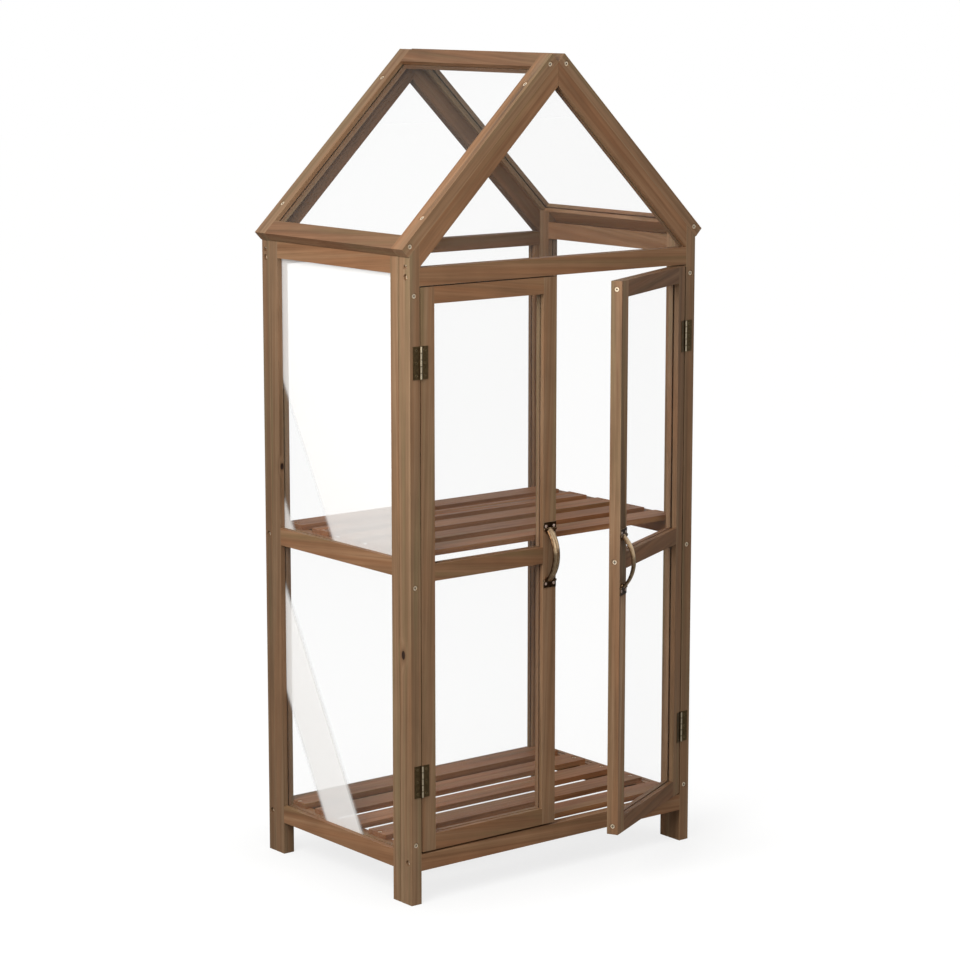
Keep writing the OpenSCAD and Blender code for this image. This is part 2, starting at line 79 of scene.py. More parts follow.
def aim_at(thing, direction):
    """Turns a camera or a lamp towards a direction."""
    thing.rotation_mode = "QUATERNION"
    thing.rotation_quaternion = direction.to_track_quat("-Z", "Y")


camera = new_object("camera", bpy.data.cameras.new("camera"))
bpy.context.scene.camera = camera
camera.data.lens = CAMERA_LENS
camera.data.sensor_width = SENSOR
camera.data.clip_end = FAR
camera.location = CAMERA_AT
aim_at(camera, Vector((math.sin(CAMERA_AZIMUTH) * math.cos(CAMERA_DIP),
                       math.cos(CAMERA_AZIMUTH) * math.cos(CAMERA_DIP),
                       -math.sin(CAMERA_DIP))))
print("camera at", CAMERA_AT[:], "lens", CAMERA_LENS)

# %% [markdown]
# Two helpers carry all the materials. Colours are written as the hex values that a painter's
# card would have, and one function turns them to the linear values that the shaders use. The
# other adds a node with its settings and links, so that each material reads from top to bottom.

# %% Helpers for materials
def linear(code, alpha=1.0):
    """An sRGB hex value as a linear colour."""
    parts = [int(code[i:i + 2], 16) / 255 for i in (1, 3, 5)]
    return (*[p / 12.92 if p <= 0.04045 else ((p + 0.055) / 1.055) ** 2.4 for p in parts], alpha)


def add(tree, kind, links=None, **settings):
    """A node of a kind, its settings set and its inputs filled with values or linked to sockets."""
    made = tree.nodes.new("ShaderNode" + kind)
    for name, value in settings.items():
        setattr(made, name, value)
    for name, value in (links or {}).items():
        if isinstance(value, bpy.types.NodeSocket):
            tree.links.new(value, made.inputs[name])
        else:
            made.inputs[name].default_value = value
    return made


def new_material(name):
    """An empty material, its tree and its output node."""
    material = bpy.data.materials.new(name)
    material.use_nodes = True
    tree = material.node_tree
    tree.nodes.clear()
    return material, tree, add(tree, "OutputMaterial")


# %% [markdown]
# The set is a white sweep. The floor is a plain matt sheet that takes the soft shadow of the
# legs. What the camera sees of the floor and of the surroundings is lifted to white by the ray
# type, so no extra light falls on the timber or shines in the metal. Close to the cabinet the
# floor is lifted less, which paints a soft shadow around its footprint.

# %% Floor and surroundings
WORLD_LIGHT = 0.70
FLOOR_LIFT = 0.85
FLOOR_SIZE = 40.0
# Painted shadow: the floor is lifted less near the cabinet, by this much and this far out.
PAINTED_SHADOW_DEPTH = 0.075          # how much less the floor is lifted close to the cabinet
PAINTED_SHADOW_REACH = 0.30
FOOTPRINT = (0.29, 0.19, 0)
PAPER_WHITE = "#80807f"      # dull enough to stay below white under the softboxes

floor_mesh = bpy.data.meshes.new("floor")
half = FLOOR_SIZE / 2
floor_mesh.from_pydata([(-half, -half, 0), (half, -half, 0), (half, half, 0), (-half, half, 0)],
                       [], [(0, 1, 2, 3)])
floor = new_object("floor", floor_mesh)

paper, tree, out = new_material("white_sweep_paper")
matt = add(tree, "BsdfDiffuse", {"Color": linear(PAPER_WHITE)})
place = add(tree, "VectorMath", {0: add(tree, "TexCoord").outputs["Object"]}, operation="ABSOLUTE")
beyond = add(tree, "VectorMath", {0: place.outputs[0], 1: FOOTPRINT}, operation="SUBTRACT")
outside = add(tree, "VectorMath", {0: beyond.outputs[0], 1: (0, 0, 0)}, operation="MAXIMUM")
reach = add(tree, "VectorMath", {0: outside.outputs[0]}, operation="LENGTH").outputs["Value"]
level = add(tree, "MapRange", {"Value": reach, "From Max": PAINTED_SHADOW_REACH,
                               "To Min": FLOOR_LIFT - PAINTED_SHADOW_DEPTH, "To Max": FLOOR_LIFT},
            interpolation_type="SMOOTHSTEP")
seen = add(tree, "LightPath").outputs["Is Camera Ray"]
lift = add(tree, "Math", {0: seen, 1: level.outputs[0]}, operation="MULTIPLY")
glow = add(tree, "Emission", {"Color": (1, 1, 1, 1), "Strength": lift.outputs[0]})
both = add(tree, "AddShader", {0: matt.outputs[0], 1: glow.outputs[0]})
tree.links.new(both.outputs[0], out.inputs["Surface"])
floor.data.materials.append(paper)

world = bpy.data.worlds.new("white_room")
bpy.context.scene.world = world
world.use_nodes = True
tree = world.node_tree
tree.nodes.clear()
seen = add(tree, "LightPath").outputs["Is Camera Ray"]
strength = add(tree, "MapRange", {"Value": seen, "To Min": WORLD_LIGHT, "To Max": 1.0})
sky = add(tree, "Background", {"Color": (1, 1, 1, 1), "Strength": strength.outputs[0]})
tree.links.new(sky.outputs[0], add(tree, "OutputWorld").inputs["Surface"])
print("floor lift", FLOOR_LIFT, "room light", WORLD_LIGHT)

# %% [markdown]
# One softbox stands close on the left, a little above the ridge, so the side of the cabinet is
# brighter than its front, and its top and its front corner are brighter than its feet and its
# back. A weak second one opens the front.

# %% Lights
def softbox(name, at, look_at, size, watts):
    """A square area lamp that faces a point."""
    lamp = new_object(name, bpy.data.lights.new(name, "AREA"))
    lamp.data.shape = "SQUARE"
    lamp.data.size = size
    lamp.data.energy = watts
    lamp.location = at
    aim_at(lamp, Vector(look_at) - Vector(at))
    lamp.visible_camera = False
    print(name, watts, "W")


softbox("key_softbox", at=(-1.65, -0.65, 1.6), look_at=(-0.2, 0, 0.8), size=1.1, watts=29.5)
softbox("front_softbox", at=(-0.6, -3.4, 2.0), look_at=(0, 0, 0.7), size=1.6, watts=8)

# %% [markdown]
# Planed fir under a thin brown glaze. The saw gives long straight streaks where earlywood and
# latewood alternate every few millimetres, the glaze soaks in unevenly and turns some streaks
# reddish and others greenish, and two small knots show on the left posts. Arrises rub pale, and
# cut ends drink more glaze and go dark. Each board carries its own numbers as attributes: a seed
# that shifts the pattern, a tint, and half of its size, from which the material knows how near
# an edge is. Each corner also keeps its place in the board's own axes, which run across in X,
# through the thickness in Y and along in Z.

# %% Timber finish
RING_SPACING = 4.2 * MM      # growth rings, as they meet the planed face
RING_STRETCH = 0.015         # and they run nearly along the board
WAVE_PERIOD = 0.314          # of Blender's wave texture, at a scale of 1
STREAK_WIDTH = 8 * MM        # bands where the glaze took differently
STREAK_LENGTH = 520 * MM
LINE_WIDTH = 2.6 * MM        # single darker lines of latewood
LINE_LENGTH = 380 * MM
FIBRE_WIDTH = 0.9 * MM       # fibres, drawn coarser than real ones so that they show
FIBRE_LENGTH = 40 * MM
BLOTCH = 60 * MM             # the glaze is thicker in some places than in others
ARRIS = 1.4 * MM             # how far the wear reaches from an edge
KNOT_SQUASH = (1, 1, 0.6)    # a knot is longer along the board than across it
KNOT_SWERVE = 5.0            # how far out the grain swerves around a knot, in its radii
SEED_STEP = (0.731, 0.417, 5.19)    # how far one unit of the seed shifts the pattern
GLAZE_IOR = 1.45
GLAZE_GLOSS = 0.35           # the glaze is thin, and less glossy than varnish

RED_SHARE = 0.42             # how strongly each tone covers the ones below it
OLIVE_SHARE = 0.45
RING_SHARE = 0.14
LINE_SHARE = 0.26
KNOT_HALO = 0.45
WORN_SHARE = 0.32
END_SHARE = 0.30

TIMBER_DARK = "#745439"
TIMBER_MID = "#866548"
TIMBER_PALE = "#967557"
TIMBER_RED = "#8f6241"
TIMBER_OLIVE = "#7c6a49"
TIMBER_LINE = "#5d4028"
TIMBER_WORN = "#a98963"
TIMBER_END = "#6b4c34"
KNOT_BROWN = "#2b170a"


def ramp(tree, factor, stops):
    """A colour ramp from position and hex pairs."""
    made = add(tree, "ValToRGB", {"Fac": factor})
    elements = made.color_ramp.elements
    elements[0].position, elements[0].color = stops[0][0], linear(stops[0][1])
    elements[1].position, elements[1].color = stops[-1][0], linear(stops[-1][1])
    for position, code in stops[1:-1]:
        elements.new(position).color = linear(code)
    return made.outputs[0]


def blend(tree, factor, below, above):
    """A colour mixed over another by a factor."""
    return add(tree, "Mix", {0: factor, 6: below, 7: above}, data_type="RGBA").outputs[2]


def span(tree, value, low, high, to_low=0.0, to_high=1.0, soft=False):
    """A value's range mapped to another range and kept inside it."""
    kind = "SMOOTHSTEP" if soft else "LINEAR"
    return add(tree, "MapRange", {"Value": value, "From Min": low, "From Max": high,
                                  "To Min": to_low, "To Max": to_high},
               interpolation_type=kind).outputs[0]


def timber():
    """Glazed fir, for every board."""
    material, tree, out = new_material("glazed_fir")

    def stored(name, output="Vector"):
        return add(tree, "Attribute", attribute_name=name).outputs[output]

    place, tint = stored("board_place"), stored("tint")
    half_size, knot_at = stored("half_size"), stored("knot_at")
    seed, knot_size = stored("grain_seed", "Fac"), stored("knot_size", "Fac")
    offset = add(tree, "VectorMath", {0: SEED_STEP, "Scale": seed}, operation="SCALE")
    shifted = add(tree, "VectorMath", {0: place, 1: offset.outputs[0]}).outputs[0]

    # The grain swerves around a knot
    from_knot = add(tree, "VectorMath", {0: place, 1: knot_at}, operation="SUBTRACT")
    squat = add(tree, "VectorMath", {0: from_knot.outputs[0], 1: KNOT_SQUASH},
                operation="MULTIPLY")
    reach = add(tree, "VectorMath", {0: squat.outputs[0]}, operation="LENGTH").outputs["Value"]
    radii = add(tree, "Math", {0: reach, 1: knot_size}, operation="DIVIDE").outputs[0]
    close = span(tree, radii, KNOT_SWERVE, 0.5, soft=True)
    push = add(tree, "Math", {0: close, 1: knot_size}, operation="MULTIPLY")
    bend = add(tree, "CombineXYZ", {"X": push.outputs[0], "Y": push.outputs[0]})
    bent = add(tree, "VectorMath", {0: shifted, 1: bend.outputs[0]}).outputs[0]

    def grain(width, length, detail, roughness=0.5):
        drawn = add(tree, "Mapping", {"Vector": bent, "Scale": (1 / width, 1 / width, 1 / length)})
        return add(tree, "TexNoise", {"Vector": drawn.outputs[0], "Scale": 1.0, "Detail": detail,
                                      "Roughness": roughness}).outputs["Fac"]

    streak = grain(STREAK_WIDTH, STREAK_LENGTH, 2.0)
    hue = grain(1.9 * STREAK_WIDTH, 0.7 * STREAK_LENGTH, 1.0)
    line = grain(LINE_WIDTH, LINE_LENGTH, 2.0, 0.6)
    fibre = grain(FIBRE_WIDTH, FIBRE_LENGTH, 2.0)
    blotch = grain(0.6 * BLOTCH, BLOTCH, 2.0)
    ring_at = add(tree, "Mapping", {"Vector": bent, "Scale": (1, 1, RING_STRETCH)})
    rings = add(tree, "TexWave", {"Vector": ring_at.outputs[0],
                                  "Scale": WAVE_PERIOD / RING_SPACING,
                                  "Distortion": 6.0, "Detail": 2.0, "Detail Scale": 0.3,
                                  "Detail Roughness": 0.6},
                wave_type="BANDS", bands_direction="DIAGONAL").outputs["Fac"]

    # Colour of the long faces
    colour = ramp(tree, streak, [(0.28, TIMBER_DARK), (0.5, TIMBER_MID), (0.74, TIMBER_PALE)])
    red = span(tree, hue, 0.50, 0.68, 0, RED_SHARE)
    colour = blend(tree, red, colour, linear(TIMBER_RED))
    olive = span(tree, hue, 0.46, 0.32, 0, OLIVE_SHARE)
    colour = blend(tree, olive, colour, linear(TIMBER_OLIVE))
    ringed = span(tree, rings, 0.70, 1.0, 0, RING_SHARE)
    colour = blend(tree, ringed, colour, linear(TIMBER_LINE))
    lined = span(tree, line, 0.60, 0.72, 0, LINE_SHARE)
    colour = blend(tree, lined, colour, linear(TIMBER_LINE))
    shade = add(tree, "Math", {0: span(tree, fibre, 0.3, 0.7, 0.94, 1.05),
                               1: span(tree, blotch, 0.3, 0.7, 0.93, 1.06)}, operation="MULTIPLY")
    colour = add(tree, "VectorMath", {0: colour, "Scale": shade.outputs[0]},
                 operation="SCALE").outputs[0]
    halo = span(tree, radii, 2.2, 1.0, 0, KNOT_HALO, soft=True)
    colour = blend(tree, halo, colour, linear(TIMBER_LINE))
    knot = span(tree, radii, 1.15, 0.85, soft=True)
    colour = blend(tree, knot, colour, linear(KNOT_BROWN))

    # Worn arrises: near an edge across the board and through its thickness at once
    size = add(tree, "VectorMath", {0: place}, operation="ABSOLUTE")
    inside = add(tree, "VectorMath", {0: half_size, 1: size.outputs[0]}, operation="SUBTRACT")
    near = add(tree, "SeparateXYZ", {0: inside.outputs[0]})
    corner = add(tree, "Math", {0: near.outputs["X"], 1: near.outputs["Y"]}, operation="ADD")
    breadth = span(tree, streak, 0.3, 0.7, 0.4 * ARRIS, 1.4 * ARRIS)
    share = add(tree, "Math", {0: corner.outputs[0], 1: breadth}, operation="DIVIDE")
    worn = span(tree, share.outputs[0], 1.0, 0.0, 0, WORN_SHARE, soft=True)
    colour = blend(tree, worn, colour, linear(TIMBER_WORN))

    # Cut ends face along the board
    normal = add(tree, "TexCoord").outputs["Normal"]
    facing = add(tree, "VectorMath", {0: normal, 1: stored("along")}, operation="DOT_PRODUCT")
    end = add(tree, "Math", {0: facing.outputs["Value"]}, operation="ABSOLUTE")
    cut = span(tree, end.outputs[0], 0.55, 0.8, 0, END_SHARE)
    colour = blend(tree, cut, colour, linear(TIMBER_END))
    colour = add(tree, "VectorMath", {0: colour, 1: tint}, operation="MULTIPLY").outputs[0]

    # Gloss and relief: latewood and fibres stand a little proud of the planed face
    height = add(tree, "Math", {0: fibre, 1: line}, operation="ADD")
    relief = add(tree, "Bump", {"Height": height.outputs[0], "Strength": 0.3,
                                "Distance": 0.1 * MM})
    skin = add(tree, "BsdfPrincipled", {"Base Color": colour,
                                        "Roughness": span(tree, fibre, 0.3, 0.7, 0.64, 0.5),
                                        "IOR": GLAZE_IOR, "Specular IOR Level": GLAZE_GLOSS,
                                        "Normal": relief.outputs[0]})
    tree.links.new(skin.outputs[0], out.inputs["Surface"])
    return material


glazed_fir = timber()
print("finish:", glazed_fir.name)

# %% [markdown]
# A board from the sawmill has square edges, and a joiner takes them off with sandpaper. Each
# timber node is taken apart into its solids. For each solid, the longest edge gives the
# direction of the grain and the largest face gives its flat side. The solid is copied into that
# board's own axes, its long arrises and end edges are rounded, and the copy stands for the node.
# Doing this from the solid keeps every groove and screw hole where it is.

# %% Boards with eased edges
EASE = 0.7 * MM
ON_EDGE = 0.02 * MM          # a corner this close to the board's box lies on it
SAME_POINT = 0.001 * MM
FLAT = math.radians(0.5)     # faces that meet at less than this are one
LONG_FACE = 0.05             # the most that a long face's normal leans along the board
NO_KNOT = (9, 9, 9)          # metres away, so the finish never shows it
KNOTS = [  # a point on a board's face, and the knot's radius
    (Vector((-0.300, -0.183, 0.411)), 4.4 * MM),
    (Vector((-0.2955, 0.158, 0.670)), 3.2 * MM),
]


def groups(mesh):
    """The vertices of each connected part of a bmesh."""
    left = set(mesh.verts)
    found = []
    while left:
        reached, edge = set(), [min(left, key=lambda v: v.index)]
        while edge:
            vertex = edge.pop()
            if vertex not in reached:
                reached.add(vertex)
                edge.extend(e.other_vert(vertex) for e in vertex.link_edges)
        left -= reached
        found.append(reached)
    return found


def joined(mesh_data):
    """A mesh as a bmesh whose faces share their corners."""
    whole = bmesh.new()
    whole.from_mesh(mesh_data)
    bmesh.ops.remove_doubles(whole, verts=whole.verts, dist=SAME_POINT)
    whole.verts.index_update()
    return whole


def solids_of(node):
    """The separate solids of a node, each as a bmesh."""
    whole = joined(node.data)
    found = []
    for group in groups(whole):
        one = whole.copy()
        keep = {v.index for v in group}
        bmesh.ops.delete(one, geom=[v for v in one.verts if v.index not in keep], context="VERTS")
        found.append(one)
    whole.free()
    return found


def islands(mesh_data):
    """The points of each separate solid of a mesh."""
    whole = joined(mesh_data)
    found = [[tuple(v.co) for v in group] for group in groups(whole)]
    whole.free()
    return found


def board_axes(solid):
    """A board's centre and axes (across, through and along) as one matrix, and its half size."""
    along = max(solid.edges, key=lambda e: e.calc_length())
    along = (along.verts[1].co - along.verts[0].co).normalized()
    areas = {}
    for face in solid.faces:
        if abs(face.normal.dot(along)) < LONG_FACE:
            key = tuple(round(abs(c), 2) for c in face.normal)
            total, _ = areas.get(key, (0, None))
            areas[key] = (total + face.calc_area(), face.normal.copy())
    through = max(areas.values(), key=lambda item: item[0])[1]
    through = (through - along * through.dot(along)).normalized()
    across = through.cross(along)
    turn = Matrix((across, through, along)).transposed()
    local = [turn.transposed() @ v.co for v in solid.verts]
    low = Vector([min(p[i] for p in local) for i in range(3)])
    high = Vector([max(p[i] for p in local) for i in range(3)])
    return Matrix.Translation(turn @ ((low + high) / 2)) @ turn.to_4x4(), (high - low) / 2


def knot_on(axes, half_size):
    """The knot on a board, in the board's own axes, and its radius; or else a place far away."""
    for point, radius in KNOTS:
        local = axes.inverted() @ point
        if all(abs(local[i]) < half_size[i] + MM for i in range(3)):
            return local, radius
    return NO_KNOT, MM


def eased_board(name, solid, body, seed, tint):
    """The solid as a board of its own, its edges eased and its numbers stored for the finish."""
    axes, half_size = board_axes(solid)
    bmesh.ops.transform(solid, matrix=axes.inverted(), verts=solid.verts)
    bmesh.ops.dissolve_limit(solid, angle_limit=FLAT, verts=solid.verts, edges=solid.edges)

    def outer(edge):
        ends = [[abs(abs(v.co[i]) - half_size[i]) < ON_EDGE for i in range(3)] for v in edge.verts]
        return sum(a and b for a, b in zip(*ends)) == 2

    bmesh.ops.bevel(solid, geom=[e for e in solid.edges if outer(e)], offset=EASE, segments=2,
                    profile=0.5, affect="EDGES", clamp_overlap=False)
    mesh = bpy.data.meshes.new(name)
    solid.to_mesh(mesh)
    solid.free()

    def store_all(attribute, values):
        mesh.attributes.new(attribute, "FLOAT_VECTOR", "POINT").data.foreach_set("vector", values)

    def store(attribute, vector):
        store_all(attribute, list(vector) * len(mesh.vertices))

    def store_number(attribute, number):
        values = [number] * len(mesh.vertices)
        mesh.attributes.new(attribute, "FLOAT", "POINT").data.foreach_set("value", values)

    store_all("board_place", [c for v in mesh.vertices for c in v.co])
    mesh.transform(axes)
    knot, radius = knot_on(axes, half_size)
    store("along", axes.to_3x3() @ Vector((0, 0, 1)))
    store("tint", tint)
    store("half_size", half_size)
    store("knot_at", knot)
    store_number("grain_seed", seed)
    store_number("knot_size", radius)
    mesh.materials.append(glazed_fir)
    board = new_object(name, mesh)
    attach(board, body)
    return board


# %% [markdown]
# The boards come from several batches. Uprights are a little cooler than rails and slats. The
# boards at the back, some boards of the roof, and the rails and hinge stile of the open door are
# painted darker, as painted shade where they stand in the shade of the others.

# %% Replace the timber nodes
SLOTS = {entry["node"]: entry["material_slot"] for entry in frame["record"]["subparts"]}
TONES = {"stained_timber": 1.05, "shelf_timber": 1.16}    # how bright each slot's boards are
BODIES = frame["record"]["behaviour"]["bodies"]
BODY_OF = {node: body for body, nodes in BODIES.items() for node in nodes}
WARM = {"post": -0.5, "stile": -0.3, "stiles": 0.0, "rail": 0.5, "rafter": 0.5,
        "slats": 1.6, "battens": 1.3}    # by a node's last word: 0 is neutral, 1 is warm
# Painted shade: boards that stand in shade are painted darker by these factors.
PAINTED_SHADE = {"back_left_post": 0.78, "back_right_post": 0.78,
       "back_left_rafter": 0.62, "back_right_rafter": 0.62, "back_top_rail": 0.66,
       "roof_left_eave_rail": 0.80, "roof_left_ridge_rail": 0.82,
       "roof_left_back_stile": 0.9, "roof_right_back_stile": 0.8,
       "right_door_top_rail": 0.72, "right_door_mid_rail": 0.85,
       "right_door_bottom_rail": 0.76, "right_door_hinge_stile": 0.92}
WARMEST = Vector((1.0, 0.87, 0.77))
GOLDEN = 1.618               # steps that never repeat
GOLDEN_ANGLE = 2.4
SEEDS = 7.0                  # the seeds run from 0 to this
UNEVEN = 0.05                # how much the tone varies between boards


def tint_of(node_name, slot, count):
    """The tint of one board: batch, painted shade, and a tone that varies a little between boards.
    """
    warmth = WARM[node_name.split("_")[-1]]
    tone = TONES[slot] * PAINTED_SHADE.get(node_name, 1) * (1 + UNEVEN * math.sin(count * GOLDEN_ANGLE))
    return tone * Vector((1, 1, 1)).lerp(WARMEST, warmth)


boards = 0
for node_name in sorted(frame["nodes"]):
    slot = SLOTS[node_name]
    if slot not in TONES:
        continue
    for part, solid in enumerate(solids_of(frame["nodes"][node_name])):
        boards += 1
        board = eased_board(f"{node_name}_board_{part + 1}", solid, BODY_OF[node_name],
                            boards * GOLDEN % SEEDS, tint_of(node_name, slot, boards))
        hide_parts(node_name)
print("boards:", boards)

# %% [markdown]
# The panes are clear acrylic sheet, 2.4 mm thick, new enough to be almost invisible: each one
# greys what is behind it by about two percent. On the panes of the left side a white reflection
# of the room's light is painted, with a faint painted glow: it lies on the lower pane as one
# slanting band, and covers the upper pane apart from a clear slanting band.

# %% Panes
ACRYLIC_IOR = 1.49
ACRYLIC_ROUGH = 0.08
FILM = 0.022                 # how much a clear sheet covers
# Painted reflection on the left panes: how much it covers below and above, and its painted glow.
PAINTED_REFLECTION_LOW = 0.56             # how much the sheen covers on the lower pane
PAINTED_REFLECTION_HIGH = 0.40            # and on the upper one
PAINTED_GLOW = 0.11
# Where the painted reflection lies: its slant, its bands at the ground and their soft edges.
REFLECTION_SLOPE = 0.56           # the bands lean back by this much for each unit of height
LOW_REFLECTION_BAND = (-109 * MM, 7 * MM)      # where each band starts and ends, at the ground
HIGH_REFLECTION_BAND = (-303 * MM, -178 * MM)
REFLECTION_SOFT = 14 * MM
FILM_GREY = "#c9cdcc"
# The colour of the painted reflection.
PAINTED_REFLECTION_WHITE = "#f8f6f3"


def acrylic(name):
    """Clear cast acrylic: a lone clear surface with a plain, low alpha."""
    material, tree, out = new_material(name)
    sheet = add(tree, "BsdfPrincipled", {"Base Color": linear(FILM_GREY), "Alpha": FILM,
                                         "Roughness": ACRYLIC_ROUGH, "IOR": ACRYLIC_IOR})
    tree.links.new(sheet.outputs[0], out.inputs["Surface"])
    return material


def acrylic_with_painted_reflection(name, middle):
    """Painted reflection and glow on the sheet: a band below a height, all but a band above it."""
    material, tree, out = new_material(name)
    place = add(tree, "SeparateXYZ", {0: add(tree, "TexCoord").outputs["Object"]})
    lean = add(tree, "Math", {0: place.outputs["Z"], 1: -REFLECTION_SLOPE}, operation="MULTIPLY")
    level = add(tree, "Math", {0: place.outputs["Y"], 1: lean.outputs[0]}).outputs[0]
    bands = []
    for start, end in (LOW_REFLECTION_BAND, HIGH_REFLECTION_BAND):
        rise = span(tree, level, start, start + REFLECTION_SOFT, soft=True)
        fall = span(tree, level, end, end - REFLECTION_SOFT, soft=True)
        bands.append(add(tree, "Math", {0: rise, 1: fall}, operation="MULTIPLY").outputs[0])
    around = add(tree, "Math", {0: 1.0, 1: bands[1]}, operation="SUBTRACT").outputs[0]
    upper = add(tree, "Math", {0: place.outputs["Z"], 1: middle},
                operation="GREATER_THAN").outputs[0]
    # Where the painted reflection lies on each pane.
    painted_reflection = add(tree, "Mix", {0: upper, 2: bands[0], 3: around}).outputs[0]
    full = span(tree, upper, 0, 1, PAINTED_REFLECTION_LOW, PAINTED_REFLECTION_HIGH)
    alpha = add(tree, "Mix", {0: painted_reflection, 2: FILM, 3: full}).outputs[0]
    colour = blend(tree, painted_reflection, linear(FILM_GREY), linear(PAINTED_REFLECTION_WHITE))
    # The painted reflection also glows a little, though the sheet is no lamp.
    glow = span(tree, painted_reflection, 0, 1, 0, PAINTED_GLOW)
    sheet = add(tree, "BsdfPrincipled", {"Base Color": colour, "Alpha": alpha,
                                         "Roughness": ACRYLIC_ROUGH, "IOR": ACRYLIC_IOR,
                                         "Emission Color": (1, 1, 1, 1), "Emission Strength": glow})
    tree.links.new(sheet.outputs[0], out.inputs["Surface"])
    return material


def dress(node_name, material):
    """Gives a node that keeps its own shape one material in all its slots."""
    mesh = frame["nodes"][node_name].data
    if not mesh.materials:
        mesh.materials.append(material)
    for i in range(len(mesh.materials)):
        mesh.materials[i] = material


mid_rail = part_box("left_mid_rail")
clear = acrylic("clear_acrylic")
painted_reflection_acrylic = acrylic_with_painted_reflection("acrylic_with_painted_reflection", (mid_rail[0].z + mid_rail[1].z) / 2)
for node_name, slot in SLOTS.items():
    if slot == "clear_pane":
        dress(node_name, painted_reflection_acrylic if node_name == "left_panes" else clear)
print("panes:", sum(slot == "clear_pane" for slot in SLOTS.values()))

# %% [markdown]
# The hinge leaves are steel with a bronze lacquer, stamped and rolled. A pale highlight is
# painted on the front left side of the barrels, and the lacquer is thin in spots elsewhere.
# The distance from the pin's line tells the barrel from the leaf.

# %% Hinges
JOINTS = {joint["child"]: joint for joint in frame["record"]["behaviour"]["joints"]}
PIN_X, PIN_Y, _ = JOINTS["right_door"]["pos_m"]
BARREL = 2.55 * MM           # radius
BARREL_FADE = 1.06           # the wear has ended at this many radii
KNUCKLE = 10.5 * MM          # from one joint in the barrel to the next
JOINT_DARK = 0.3 * MM        # the lacquer is whole up to here from a joint
JOINT_WORN = 1.1 * MM        # and worn from here on
BRONZE_DARK = "#5b4b33"
BRONZE_PALE = "#786547"
BARREL_HIGHLIGHT = "#e6d6b8"
# The barrels get a painted highlight on the side that faces this way, the front left.
HIGHLIGHT_SIDE = Vector((-0.45, -0.89, 0))
LACQUER_SPOT = 4 * MM


def bronzed_steel():
    """Bronzed steel leaves, with a highlight painted on the barrels."""
    material, tree, out = new_material("bronzed_steel")
    place = add(tree, "TexCoord")
    at = add(tree, "VectorMath", {0: place.outputs["Object"]}, operation="ABSOLUTE")
    from_pin = add(tree, "VectorMath", {0: at.outputs[0], 1: (PIN_X, -PIN_Y, 0)},
                   operation="SUBTRACT")
    flat = add(tree, "VectorMath", {0: from_pin.outputs[0], 1: (1, 1, 0)}, operation="MULTIPLY")
    reach = add(tree, "VectorMath", {0: flat.outputs[0]}, operation="LENGTH").outputs["Value"]
    barrel = span(tree, reach, BARREL * BARREL_FADE, BARREL)
    front = add(tree, "VectorMath", {0: place.outputs["Normal"], 1: HIGHLIGHT_SIDE},
                operation="DOT_PRODUCT")
    faces_highlight_side = span(tree, front.outputs["Value"], 0.75, 0.97, soft=True)
    wear_and_highlight = add(tree, "Math", {0: barrel, 1: faces_highlight_side}, operation="MULTIPLY").outputs[0]

    # The painted highlight stops short of the joints between the knuckles
    low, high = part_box("post_hinge_leaves")
    height = add(tree, "SeparateXYZ", {0: place.outputs["Object"]}).outputs["Z"]
    above = add(tree, "Math", {0: height, 1: low.z}, operation="SUBTRACT")
    below = add(tree, "Math", {0: high.z, 1: height}, operation="SUBTRACT")
    from_end = add(tree, "Math", {0: above.outputs[0], 1: below.outputs[0]}, operation="MINIMUM")
    from_joint = add(tree, "Math", {0: from_end.outputs[0], 1: KNUCKLE / 2}, operation="PINGPONG")
    middles = span(tree, from_joint.outputs[0], JOINT_DARK, JOINT_WORN, 0.15, 1)
    wear_and_highlight = add(tree, "Math", {0: wear_and_highlight, 1: middles}, operation="MULTIPLY").outputs[0]

    cloud = add(tree, "TexNoise", {"Vector": place.outputs["Object"], "Scale": 1 / LACQUER_SPOT,
                                   "Detail": 4.0}).outputs["Fac"]
    leaf = ramp(tree, cloud, [(0.3, BRONZE_DARK), (0.75, BRONZE_PALE)])
    colour = blend(tree, wear_and_highlight, leaf, linear(BARREL_HIGHLIGHT))
    skin = add(tree, "BsdfPrincipled", {"Base Color": colour, "Metallic": 1.0,
                                        "Roughness": span(tree, cloud, 0.3, 0.7, 0.3, 0.5)})
    tree.links.new(skin.outputs[0], out.inputs["Surface"])
    return material


bronze = bronzed_steel()
for node_name, slot in SLOTS.items():
    if slot in ("bronzed_hinge", "plated_steel"):
        dress(node_name, bronze)
print("hinge leaves dressed, pins at", PIN_X, PIN_Y)

# %% [markdown]
# A wood screw shows only its head: a flat disc with a rounded rim and a cross recess, sunk a
# little below the wood. The recess is painted dark, as painted shade, so it reads as a cross even
# from afar. The screws of the boards are yellow zinc, those of the hinges bronze like the leaves,
# and those of the handles a pinkish brass.

# %% Screws
RIM = 0.10                   # all these are shares of the head's radius
CROSS_REACH = 0.52
CROSS_WIDTH = 0.13
CROSS_DEPTH = 0.55
SHANK = 0.5
SHANK_END = 1.2
CROSS_TAPER = 0.7            # the recess narrows to this share of its mouth
HEAD_SIDES = 32
HEAD_PLAY = 0.985            # a head is a little smaller than its sink
PLATING_SPOT = 1.5 * MM
# The colour of the painted shade in the cross recesses.
RECESS_SHADE_BLACK = "#2b2017"


